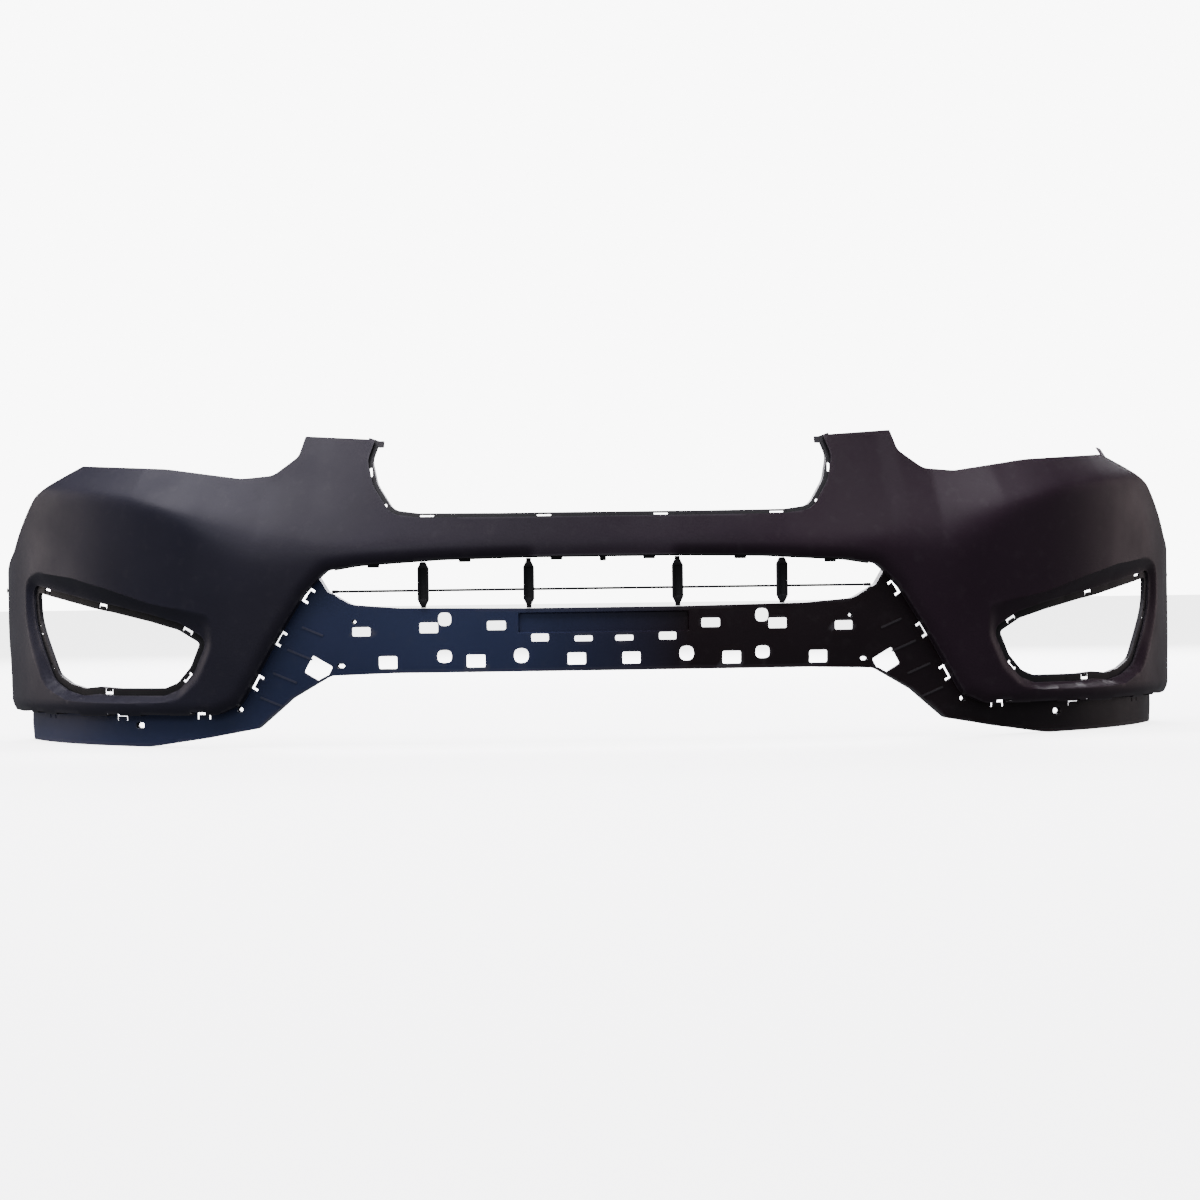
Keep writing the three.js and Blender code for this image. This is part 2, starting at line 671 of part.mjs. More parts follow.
[['left', -1], ['right', 1]].forEach(([label, side]) => {
  const frameAt = (s, z) => skinDepth(s, z) + frameDepth(s);
  const behindSkin = (s, z) => skinDepth(s, z) + WALL + BRACKET_STANDOFF;
  const behindApron = (s, z) => apronDepth(s, z) + WALL + 1.2;
  add(`fog_frame_${label}`, fogFrame(side), frameAt, plastic(0x1c1b20));
  add(`side_bracket_${label}`, sideBracket(side), behindSkin, plastic(0x1e1d21));
  SCREW_HOLES.forEach((hole, i) => {
    add(`grommet_${label}_${i + 1}`, grommet(side, hole), behindApron, plastic(0x17161a));
  });
  RIVETS.forEach((at, i) => {
    add(`rivet_${label}_${i + 1}`, rivet(side, at), skinDepth, plastic(0x151417, 0.4));
  });
});

export default cover;
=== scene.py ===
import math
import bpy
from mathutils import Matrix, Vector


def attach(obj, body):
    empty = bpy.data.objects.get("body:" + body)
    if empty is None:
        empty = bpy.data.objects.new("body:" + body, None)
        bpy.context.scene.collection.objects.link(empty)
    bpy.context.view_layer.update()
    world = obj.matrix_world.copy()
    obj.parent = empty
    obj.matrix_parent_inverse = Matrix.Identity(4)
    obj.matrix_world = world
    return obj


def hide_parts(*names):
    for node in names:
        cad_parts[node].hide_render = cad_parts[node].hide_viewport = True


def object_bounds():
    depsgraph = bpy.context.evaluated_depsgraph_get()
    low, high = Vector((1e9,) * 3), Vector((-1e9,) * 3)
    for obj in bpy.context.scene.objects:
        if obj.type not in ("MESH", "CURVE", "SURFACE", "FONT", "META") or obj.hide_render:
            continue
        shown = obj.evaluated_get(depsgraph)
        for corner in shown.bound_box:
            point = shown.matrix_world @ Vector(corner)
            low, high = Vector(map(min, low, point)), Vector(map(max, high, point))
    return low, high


bl_info = {
    "name": "Front Bumper Cover",
    "version": (1, 0, 0),
    "blender": (4, 5, 0),
    "location": "3D View > Sidebar > Bumper",
    "description": "Builds the bare front bumper cover of a mid-size SUV round its fixed CAD frame",
    "category": "Object",
}

import bpy
import numpy as np

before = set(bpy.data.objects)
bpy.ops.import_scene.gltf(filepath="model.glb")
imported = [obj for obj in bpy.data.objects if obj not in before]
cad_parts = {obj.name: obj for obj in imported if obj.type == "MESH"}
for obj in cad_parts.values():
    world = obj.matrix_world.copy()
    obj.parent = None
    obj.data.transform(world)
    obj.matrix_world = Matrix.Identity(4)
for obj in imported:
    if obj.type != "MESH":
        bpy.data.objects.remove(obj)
CAD_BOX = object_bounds()

# ---------------------------------------------------------------- sizes (mm)
# The skins are made flat, in the developed plane, and bent round this plan curve.

HALF_WIDTH = 950.0
WRAP_DEPTH = 620.0
PLAN_SIDE = 3.0
PLAN_FRONT = 2.2
CENTRE_SHIFT = 287.0

CREASE = [(0, 286), (420, 280), (500, 288), (600, 332), (700, 360), (800, 373), (900, 380), (1300, 382)]
LEAN = [(0, 0.3), (300, 0.4), (450, 0.5), (620, 0.75), (800, 0.9), (1300, 0.9)]

WALL = 3.0
LIP_WALL = 2.6
LIP_START = 1.0
RIVET_HOLE = 3.4

FASCIA_SHEET = (-1262, 1262), (40, 456)
CREASE_ROW = 286.0
CREASE_WIDTH = 5.0
CREASE_SOFTER = 9.0
SEAM_LIP_DEPTH = 17.4
REAR_LIP_DEPTH = 14.0
LOCATING_TAB = (848, 418, 8, 16, 2, -20)
LOCATING_TAB_DEPTH = (0.2, 2.6)

APRON_SHEET = (-1040, 1040), (-7, 252)
APRON_DEPTH = 24.0
APRON_TUCK = 0.12
APRON_LIP_DEPTH = 17.0
FOOT_LIP = (716, 1010)
FOOT_LIP_DEPTH = 30.0
PLATE_HALF = 121.0
PLATE_LOW = 160.0
PLATE_HIGH = 188.0
PLATE_DRAFT = 1.6

POCKET_DEPTHS = [(590, 8), (630, 10), (720, 16), (830, 16), (930, 9)]
POCKET_LAND = 11.0
FRAME_COVER = 21.0
FRAME_WALL = 2.6
FRAME_BEAD = 6.0
FRAME_GAP = 0.7
ARCH_BAND = 8.5
ARCH_STEP = 1.4

BRACE_WIDTH = 15.6
BRACE_NECK = 7.2
BRACE_STRAIGHT = 45.0
BRACE_LENGTH = 62.0
BRACE_HEIGHT = 231.0
BRACE_RIM = 3.2
BRACE_BODY_DEPTH = (19, 29)
BRACE_PANEL_DEPTH = (10, 22)
BRACE_NECK_DEPTH = (24.4, 26.8)
BRACE_TOP_GAP = 2.35
BRACE_FOOT_GAP = 0.35
BRACE_AT = [-257, -106, 106, 257]
TAB_AT = [-329, -197, -66, 66, 197, 329]
TAB_DEPTH = (0.2, 2.4)
TIE_HEIGHT = 222.0
TIE_HALF = 392.0
TIE_WALL = 3.4
TIE_DEPTH = (31, 43)
TIE_END_DEPTH = (31.5, 42)

FLANGE_WALL = 2.5
FLANGE_OUT = -6.0
FLANGE_IN = 11.0
FLANGE_LIP_DEPTH = 13.0
FLANGE_BEHIND = 2.4
HOOK_AT = (322, 433, 9, 10, 2)
HOOK_DEPTH = (0.4, 2.2)
INTAKE_OUT = -2.0
INTAKE_IN = 13.0
INTAKE_END = (386, 254, 0)
INTAKE_BEHIND = 0.35

BRACKET_EDGE = [(1200, 233, 0), (1040, 287, 80), (932, 364, 40), (866, 398, 0)]
BRACKET_SLOTS = [(985, 308, 26, 6, 2.5, -36), (1085, 257, 26, 6, 2.5, -19)]
BRACKET_OUT = 5.0
BRACKET_IN = 32.0
BRACKET_RIM_DEPTH = 12.0
BRACKET_BEHIND = 3.6

# ---------------------------------------------------------------- outlines in the developed plane (mm)
# s runs along the plan curve from the centre, z is height. Right half: (s, z, corner radius).

FASCIA_LOW = [
    (108, 268.7, 0), (230, 266.5, 60), (350, 259.5, 60), (394, 252, 12), (409, 239, 10),
    (431, 216, 10), (472, 154, 60), (506, 98, 60), (528, 62, 30), (562, 48, 30), (800, 44, 60),
]
FASCIA_REAR = [
    (1078, 45, 6), (1094, 112, 70), (1146, 176, 70), (1252, 208, 8), (1252, 224, 8), (1040, 290, 80),
    (931, 371, 40), (842, 415, 8),
]
FASCIA_LAMP = [(668, 404.5, 80), (539, 387, 60), (489, 391, 30), (451, 418, 18), (444, 448, 5)]
GRILLE_EDGE = [
    (331, 440, 4), (341, 410, 30), (330, 372, 40), (302, 331, 30), (262, 325.5, 20), (146, 324.5, 0),
]

APRON_LOW = [
    (300, 105, 0), (397, 102, 30), (456, 70, 20), (509, 27, 14), (592, 13, 60), (688, 0, 60), (1020, 0, 6),
    (1030, 24, 8),
]
APRON_TUCKED = [
    (1028, 56, 4), (800, 56, 60), (585, 58, 20), (553, 68, 16), (529, 95, 30), (485, 163, 60),
    (444, 222, 20), (426, 246, 8),
]
APRON_TOP = [(412, 246, 6), (397, 222, 14), (362, 203, 30), (292, 197.4, 60), (111, 195, 0)]

POCKET = [
    (566, 190, 20), (665, 208, 60), (745, 230, 60), (826, 248, 60), (926, 258, 40), (976, 246, 30),
    (976, 190, 60), (948, 136, 50), (905, 86, 50), (842, 66, 40), (790, 64, 60), (670, 64, 60),
    (622, 68, 40), (586, 96, 40), (562, 146, 40),
]
FOG_OPENING = [
    (590, 151, 6), (627, 170, 30), (678, 182, 80), (754, 196, 60), (796, 202, 60), (870, 215, 60),
    (952, 228, 8), (947, 188, 60), (918, 146, 60), (889, 104, 30), (855, 90, 20), (822, 84, 12),
    (785, 87, 30), (742, 85, 20), (652, 86, 20), (629, 94, 16), (606, 117, 20),
]
FOG_SLOTS = [
    (918, 229, 9), (777, 205, 9), (611, 168, 27), (942, 170, 240), (766, 80, 180), (612, 102, 135),
]
FOG_SLITS = [(905, 115, 14, 4, 1.6, 56), (959.5, 219, 9, 3.5, 1.6, 84)]

# Openings in the right half: (s, z, width, height, corner radius, turn in degrees).
WINDOWS = [
    (348, 164.5, 27, 13, 3, 0), (250, 169, 27, 15, 3, 0), (227, 180.8, 19, 19, 8, 0),
    (153, 171, 27, 13, 3, 0), (91, 153, 25, 11, 3, 0), (29, 151, 26, 8, 3, 0),
    (413, 111.4, 34, 28, 3, 30), (310, 120.3, 27, 18, 3, 0), (228, 128, 21, 18, 8, 0),
    (183, 121, 27, 18, 3, 0), (118, 127.8, 21, 21, 10.4, 0), (39, 122.5, 26, 17, 3, 0),
]
APRON_CLIPS = [
    (425, 217, -56), (468, 156, -58), (505, 93, -60), (592, 46, 0), (743, 42, 0), (927, 41, 0),
]
# Ribs: (s, z, length). Screw holes: (s, z, width, height). Slots: (s, z, turn in degrees).
FLANK_RIBS = [(420, 166, 34), (440, 133, 40), (464, 100, 38), (486, 66, 34)]
RIB_TURN = 22
SCREW_HOLES = [(533, 55, 9, 9), (707, 31, 17, 9), (358, 178.6, 7, 7), (379, 116, 12, 7)]
SEAM_NOTCHES = [
    (592, 46, 27, 12, 1, 0), (743, 42, 27, 12, 1, 0), (927, 41, 27, 12, 1, 0),
    (664, 42, 52, 11, 1, 0), (846, 41, 64, 12, 1, 0), (985, 41, 40, 12, 1, 0),
]
RIVETS = [(1194, 220), (1152, 231)]
GRILLE_HOLES = [
    (250, 328.2, 20, 3.6, 1.2, 0), (83, 327.2, 20, 3.6, 1.2, 0),
    (335, 392, 4, 13, 1.2, -6), (311, 343, 5, 5, 2.4, 0),
]


# ---------------------------------------------------------------- plane geometry

def fillet(corners, closed=True, fine=0.14):
    """Rounds each (s, z, radius) corner with a curve that fits between its neighbours."""
    line = []
    for i, (s, z, radius) in enumerate(corners):
        at_end = not closed and i in (0, len(corners) - 1)
        if radius == 0 or at_end:
            line.append((s, z))
            continue
        before = np.array(corners[i - 1][:2], float) - (s, z)
        after = np.array(corners[(i + 1) % len(corners)][:2], float) - (s, z)
        lengths = np.linalg.norm(before), np.linalg.norm(after)
        cosine = np.dot(before, after) / (lengths[0] * lengths[1])
        half = math.acos(max(-1.0, min(1.0, cosine))) / 2
        reach = min(radius / math.tan(half), 0.48 * lengths[0], 0.48 * lengths[1])
        start = np.array((s, z)) + before / lengths[0] * reach
        end = np.array((s, z)) + after / lengths[1] * reach
        if reach < 0.1:
            line.append((s, z))
            continue
        steps = max(2, min(9, round((math.pi - 2 * half) / fine)))
        for k in range(steps + 1):
            t = k / steps
            point = (1 - t) ** 2 * start + 2 * t * (1 - t) * np.array((s, z)) + t * t * end
            line.append(tuple(point))
    return line


def mirrored(half):
    return list(half) + [(-p[0], *p[1:]) for p in reversed(half)]


def flip(line):
    return [(-p[0], *p[1:]) for p in reversed(line)]


def sample(line, step, closed=False):
    points = np.array([p[:2] for p in line], float)
    if closed:
        points = np.vstack([points, points[:1]])
    out = []
    for a, b in zip(points[:-1], points[1:]):
        pieces = max(1, math.ceil(np.linalg.norm(b - a) / step))
        out += [a + (b - a) * k / pieces for k in range(pieces)]
    if not closed:
        out.append(points[-1])
    return np.array(out)


def offset(line, distance, closed=False):
    """Moves a line to its left by a distance, stretched at corners so that the width holds."""
    points = np.asarray(line, float)
    before = np.roll(points, 1, axis=0)
    after = np.roll(points, -1, axis=0)
    if not closed:
        before[0] = points[0] - (points[1] - points[0])
        after[-1] = points[-1] + (points[-1] - points[-2])
    u = points - before
    v = after - points
    u /= np.linalg.norm(u, axis=1, keepdims=True)
    v /= np.linalg.norm(v, axis=1, keepdims=True)
    t = u + v
    t /= np.linalg.norm(t, axis=1, keepdims=True)
    stretch = np.minimum(1 / np.maximum((t * v).sum(axis=1), 0.6), 1.6)[:, None]
    return points + distance * stretch * np.column_stack([-t[:, 1], t[:, 0]])


def turned(points, s, z, degrees):
    c = math.cos(math.radians(degrees))
    k = math.sin(math.radians(degrees))
    return [(s + a * c - b * k, z + a * k + b * c) for a, b in points]


def round_box(s, z, width, height, radius=0, degrees=0):
    w = width / 2
    h = height / 2
    corners = [(-w, -h, radius), (w, -h, radius), (w, h, radius), (-w, h, radius)]
    return turned(fillet(corners, fine=0.4), s, z, degrees)


def circle(s, z, radius, corners=24):
    return [(s + radius * math.cos(i * math.tau / corners), z + radius * math.sin(i * math.tau / corners))
            for i in range(corners)]


def snap_slot(s, z, degrees, width=23, height=10, leg=3.6):
    """A U-shaped slot round a snap tongue, its bar at +z."""
    w = width / 2
    h = height / 2
    right = [(w - leg, h - leg), (w - leg, -h), (w, -h), (w, h)]
    return turned(right + [(-a, b) for a, b in reversed(right)], s, z, degrees)


def both_sides(loops):
    return list(loops) + [flip(loop) for loop in loops]


def line_distance(points, line, closed=False):
    corners = np.asarray([p[:2] for p in line], float)
    ends = np.roll(corners, -1, axis=0) if closed else corners[1:]
    starts = corners if closed else corners[:-1]
    best = np.full(len(points), 1e9)
    for a, b in zip(starts, ends):
        d = b - a
        length = d @ d
        if length < 1e-9:
            continue
        t = np.clip(((points - a) @ d) / length, 0, 1)
        best = np.minimum(best, np.hypot(*(points - a - t[:, None] * d).T))
    return best


def inside(points, loop):
    x, y = points.T
    found = np.zeros(len(points), bool)
    corners = np.asarray([p[:2] for p in loop], float)
    for (ax, ay), (bx, by) in zip(corners, np.roll(corners, 1, axis=0)):
        if ay == by:
            continue
        crosses = ((ay > y) != (by > y)) & (x < (bx - ax) * (y - ay) / (by - ay) + ax)
        found ^= crosses
    return found


POCKET_LOOP = fillet(POCKET)
FOG_LOOP = fillet(FOG_OPENING)
LAND_LOOP = offset(sample(FOG_LOOP, 12, True), POCKET_LAND, True)
LOW_LINE = fillet(FASCIA_LOW + FASCIA_REAR[:1], False)
ARCH_LINE = fillet(FASCIA_REAR[:5], False)


# ---------------------------------------------------------------- depth of the skins

def ramp(table, values):
    return np.interp(values, [p[0] for p in table], [p[1] for p in table])


def smooth_step(x, low, high):
    t = np.clip((x - low) / (high - low), 0, 1)
    return t * t * (3 - 2 * t)


def soft_step(values, width):
    return width * np.log1p(np.exp(np.clip(values / width, -40, 40)))


def skin_depth(s, z):
    a = np.abs(s)
    crease = ramp(CREASE, a)
    horn = smooth_step(a, 380, 480) * (1 - smooth_step(a, 520, 640))
    width = CREASE_WIDTH + CREASE_SOFTER * horn
    return ramp(LEAN, a) * soft_step(z - crease, width)


def pocket_floor(s):
    return ramp(POCKET_DEPTHS, np.abs(s))


def pocket_depth(s, z):
    """A steep brow above each fog lamp that fades into a soft gutter below and outside it."""
    points = np.column_stack([np.abs(s), z])
    depth = np.zeros(len(points))
    near = np.flatnonzero((points[:, 0] > 540) & (points[:, 0] < 990) & (z < 280))
    near = near[inside(points[near], POCKET_LOOP)]
    p = points[near]
    floor = pocket_floor(p[:, 0])
    rim = line_distance(p, POCKET_LOOP, True)
    land = line_distance(p, LAND_LOOP, True)
    t = np.where(inside(p, LAND_LOOP), 1.0, rim / np.maximum(rim + land, 1e-6))
    brow = 1 - (1 - t) ** 1.5
    gutter = smooth_step(t, 0, 1)
    mix = smooth_step(p[:, 1], 150, 210) * (1 - smooth_step(p[:, 0], 900, 965))
    depth[near] = floor * (gutter + (brow - gutter) * mix)
    return depth


def roll_depth(s, z):
    """The fascia's inward roll along its lower edge."""
    sizes = bpy.context.scene.bumper_sizes
    width = sizes.seam_roll_width * 1000
    points = np.column_stack([np.abs(s), z])
    depth = np.zeros(len(points))
    near = np.flatnonzero(z < 290)
    d = line_distance(points[near], LOW_LINE)
    depth[near] = sizes.seam_roll_depth * 1000 * np.clip(1 - d / width, 0, 1) ** 2
    return depth


def arch_depth(s, z):
    """A shallow stepped band along the wheel-arch edge."""
    points = np.column_stack([np.abs(s), z])
    depth = np.zeros(len(points))
    near = np.flatnonzero((points[:, 0] > 1040) & (z < 240))
    d = line_distance(points[near], ARCH_LINE)
    depth[near] = ARCH_STEP * (1 - smooth_step(d, ARCH_BAND - 1, ARCH_BAND + 1))
    return depth


def fascia_depth(s, z):
    return skin_depth(s, z) + pocket_depth(s, z) + roll_depth(s, z) + arch_depth(s, z)


def plate_depth(s, z):
    beyond = np.maximum(np.abs(s) - PLATE_HALF, np.maximum(PLATE_LOW - z, z - PLATE_HIGH))
    return bpy.context.scene.bumper_sizes.plate_recess * 1000 * np.clip(0.5 - beyond / PLATE_DRAFT, 0, 1)


def apron_depth(s, z):
    tuck = APRON_TUCK * soft_step(150 - z, 20) * (1 - smooth_step(np.abs(s), 420, 560))
    return skin_depth(s, z) + APRON_DEPTH + tuck + plate_depth(s, z)


def behind(extra):
    return lambda s, z: skin_depth(s, z) + extra


def frame_depth(s, z):
    return skin_depth(s, z) + pocket_floor(s) + WALL + FRAME_GAP


def trace_plan(count=4000):
    angle = np.linspace(0, math.pi / 2, count)
    x = HALF_WIDTH * np.sin(angle) ** (2 / PLAN_SIDE)
    y = WRAP_DEPTH * (1 - np.cos(angle) ** (2 / PLAN_FRONT))
    s = np.concatenate([[0], np.cumsum(np.hypot(np.diff(x), np.diff(y)))])
    return s, x, y


PLAN_S, PLAN_X, PLAN_Y = trace_plan()


def bend(piece, depth_at):
    """Pushes a flat piece back by its depth function and bends it round the plan curve."""
    mesh = piece.data
    co = np.empty(len(mesh.vertices) * 3)
    mesh.vertices.foreach_get("co", co)
    s, y, z = co.reshape(-1, 3).T
    y = y + depth_at(s, z)
    a = np.abs(s)
    x0 = np.interp(a, PLAN_S, PLAN_X)
    y0 = np.interp(a, PLAN_S, PLAN_Y)
    dx = np.interp(a + 4, PLAN_S, PLAN_X) - np.interp(np.maximum(a - 4, 0), PLAN_S, PLAN_X)
    dy = np.interp(a + 4, PLAN_S, PLAN_Y) - np.interp(np.maximum(a - 4, 0), PLAN_S, PLAN_Y)
    length = np.hypot(dx, dy)
    in_x = -dy / length * np.minimum(a / 4, 1)
    in_y = dx / length
    x = np.where(s < 0, -1, 1) * (x0 + in_x * y)
    placed = np.column_stack([x, y0 + in_y * y - CENTRE_SHIFT, z]) * 0.001
    placed = np.clip(placed, np.array(CAD_BOX[0]), np.array(CAD_BOX[1]))
    mesh.vertices.foreach_set("co", placed.ravel())
    mesh.update()
    return piece


# ---------------------------------------------------------------- making pieces by operators

def nothing_selected():
    if bpy.context.object and bpy.context.object.mode != "OBJECT":
        bpy.ops.object.mode_set(mode="OBJECT")
    bpy.ops.object.select_all(action="DESELECT")


def only(piece):
    nothing_selected()
    piece.select_set(True)
    bpy.context.view_layer.objects.active = piece


def named(name):
    piece = bpy.context.object
    piece.name = name
    piece.data.name = name
    return piece


def set_points(piece, points):
    piece.data.vertices.foreach_set("co", np.ascontiguousarray(points, dtype=float).ravel())
    piece.data.update()


def get_points(piece):
    co = np.empty(len(piece.data.vertices) * 3)
    piece.data.vertices.foreach_get("co", co)
    return co.reshape(-1, 3)


def edit(piece, operator, **settings):
    """Runs one mesh operator on the whole of a piece."""
    only(piece)
    bpy.ops.object.mode_set(mode="EDIT")
    bpy.ops.mesh.select_all(action="SELECT")
    operator(**settings)
    bpy.ops.object.mode_set(mode="OBJECT")


def merge(piece, threshold=0.02):
    edit(piece, bpy.ops.mesh.remove_doubles, threshold=threshold)


def divide(piece, cuts):
    edit(piece, bpy.ops.mesh.subdivide, number_cuts=cuts)


def mirror(piece):
    """Turns a right-hand piece into its left-hand twin, with its faces still outward."""
    set_points(piece, get_points(piece) * (-1, 1, 1))
    edit(piece, bpy.ops.mesh.flip_normals)


def flat_grid(name, s_range, z_range, cell):
    """An open sheet in the developed plane, facing the front."""
    nothing_selected()
    columns = max(1, math.ceil((s_range[1] - s_range[0]) / cell))
    rows = max(1, math.ceil((z_range[1] - z_range[0]) / cell))
    bpy.ops.mesh.primitive_grid_add(x_subdivisions=columns, y_subdivisions=rows, size=2)
    piece = named(name)
    u, v, _ = get_points(piece).T
    s = s_range[0] + (u + 1) / 2 * (s_range[1] - s_range[0])
    z = z_range[0] + (v + 1) / 2 * (z_range[1] - z_range[0])
    set_points(piece, np.column_stack([s, np.zeros(len(s)), z]))
    return piece


def ribbon(name, near, far, y_range, closed=False):
    """An open strip between two matching lines, from one depth to another."""
    nothing_selected()
    count = len(near)
    bpy.ops.mesh.primitive_grid_add(x_subdivisions=count - 1 + closed, y_subdivisions=1, size=2)
    piece = named(name)
    u, v, _ = get_points(piece).T
    index = np.rint((u + 1) / 2 * (count - 1 + closed)).astype(int) % count
    low = np.column_stack([near[index, 0], np.full(len(index), y_range[0]), near[index, 1]])
    high = np.column_stack([far[index, 0], np.full(len(index), y_range[1]), far[index, 1]])
    set_points(piece, np.where((v < 0)[:, None], low, high))
    if closed:
        merge(piece, 0.01)
    return piece


def apply(piece, kind, **settings):
    only(piece)
    modifier = piece.modifiers.new(kind.title(), kind)
    for key, value in settings.items():
        setattr(modifier, key, value)
    bpy.ops.object.modifier_apply(modifier=modifier.name)
    return piece


def thicken(piece, wall, side=-1):
    return apply(piece, "SOLIDIFY", thickness=wall, offset=side, use_even_offset=True)


def soften(piece, width):
    return apply(
        piece, "BEVEL", width=width, segments=2, limit_method="ANGLE",
        angle_limit=math.radians(40), harden_normals=False,
    )


def prism(name, loop, y0, y1):
    """A straight block from an outline: a disc moved to the outline, then extruded in depth."""
    nothing_selected()
    points = np.asarray([p[:2] for p in loop], float)
    area = np.cross(points, np.roll(points, -1, axis=0)).sum()
    if area < 0:
        points = points[::-1]
    bpy.ops.mesh.primitive_circle_add(vertices=len(points), fill_type="NGON")
    piece = named(name)
    set_points(piece, np.column_stack([points[:, 0], np.full(len(points), y0), points[:, 1]]))
    edit(piece, bpy.ops.mesh.extrude_region_move, TRANSFORM_OT_translate={"value": (0, y1 - y0, 0)})
    edit(piece, bpy.ops.mesh.normals_make_consistent, inside=False)
    return piece


def join(pieces, name):
    nothing_selected()
    for piece in pieces:
        piece.select_set(True)
    bpy.context.view_layer.objects.active = pieces[0]
    bpy.ops.object.join()
    return named(name)


def cut(piece, loops, operation="DIFFERENCE", y_range=(-60, 90)):
    cutters = [prism("cutter", loop, *y_range) for loop in loops]
    tool = join(cutters, "cutter") if len(cutters) > 1 else cutters[0]
    apply(piece, "BOOLEAN", object=tool, operation=operation, solver="EXACT")
    bpy.data.objects.remove(tool, do_unlink=True)
    return piece


def score(piece, loops):
    """Gives a sheet edges that run along each loop, so that a rim or step there stays crisp."""
    for loop in loops:
        only(piece)
        bpy.ops.object.duplicate()
        patch = bpy.context.object
        cut(patch, [loop], "INTERSECT")
        cut(piece, [loop])
        piece = join([piece, patch], piece.name)
    merge(piece)
    return piece


def plate_rectangle(margin):
    return [
        (-PLATE_HALF - margin, PLATE_LOW - margin), (PLATE_HALF + margin, PLATE_LOW - margin),
        (PLATE_HALF + margin, PLATE_HIGH + margin), (-PLATE_HALF - margin, PLATE_HIGH + margin),
    ]


def brace_outline(s):
    """Full width along its straight middle, narrowed to the neck at both ends."""
    low = [(BRACE_NECK / 2, -BRACE_LENGTH / 2), (BRACE_WIDTH / 2, -BRACE_STRAIGHT / 2)]
    right = low + [(a, -b) for a, b in reversed(low)]
    return turned(right + [(-a, b) for a, b in reversed(right)], s, BRACE_HEIGHT, 0)


def finish(piece, nodes, material):
    """Shades a piece, gives it its material and ties it to the frame."""
    only(piece)
    bpy.ops.object.shade_smooth_by_angle(angle=math.radians(32))
    piece.data.materials.clear()
    piece.data.materials.append(material)
    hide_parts(*nodes)
    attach(piece, "root")
    return piece


def lip(name, line, depth, closed=False):
    """A return flange behind an edge; it stands inside the line."""
    points = sample(line, 9, closed)
    piece = ribbon(name, points, points, (LIP_START, depth), closed)
    divide(piece, 1)
    return thicken(piece, LIP_WALL, side=1)


# ---------------------------------------------------------------- finishes

DUST = (0.06, 0.056, 0.058)
SPECK = (0.07, 0.07, 0.075)
# Lighter colour for convex edges: partly wear, partly a painted edge highlight.
EDGE_WEAR_AND_HIGHLIGHT = (0.085, 0.08, 0.088)
CLOUD_GAIN = 1.9
SPECULAR = 0.16
# Where a skin's colour turns from its left-hand to its right-hand one (metres across).
FASCIA_TURN = (-0.6, 0.3)
APRON_TURN = (-0.12, 0.12)


def add_node(material, kind, **inputs):
    """A node with its unlinked inputs set by name; underscores stand for spaces."""
    node = material.node_tree.nodes.new(kind)
    for key, value in inputs.items():
        node.inputs[key.replace("_", " ")].default_value = value
    return node


def noise(material, place, scale, detail):
    node = add_node(material, "ShaderNodeTexNoise", Scale=scale, Detail=detail)
    material.node_tree.links.new(place, node.inputs["Vector"])
    return node.outputs["Fac"]


def blend(material, factor, first, second):
    """Mixes two colours; each is a socket or a plain colour."""
    node = material.node_tree.nodes.new("ShaderNodeMix")
    node.data_type = "RGBA"
    colours = [socket for socket in node.inputs if socket.type == "RGBA"]
    for socket, value in zip([node.inputs[0]] + colours, (factor, first, second)):
        if isinstance(value, bpy.types.NodeSocket):
            material.node_tree.links.new(value, socket)
        else:
            socket.default_value = value if isinstance(value, float) else (*value, 1)
    return next(socket for socket in node.outputs if socket.type == "RGBA")


def spread(material, value, low, high, to_low=0.0, to_high=1.0):
    """Maps a value from one range to another, held at the ends."""
    node = add_node(
        material, "ShaderNodeMapRange", From_Min=low, From_Max=high, To_Min=to_low, To_Max=to_high)
    material.node_tree.links.new(value, node.inputs["Value"])
    return node.outputs["Result"]


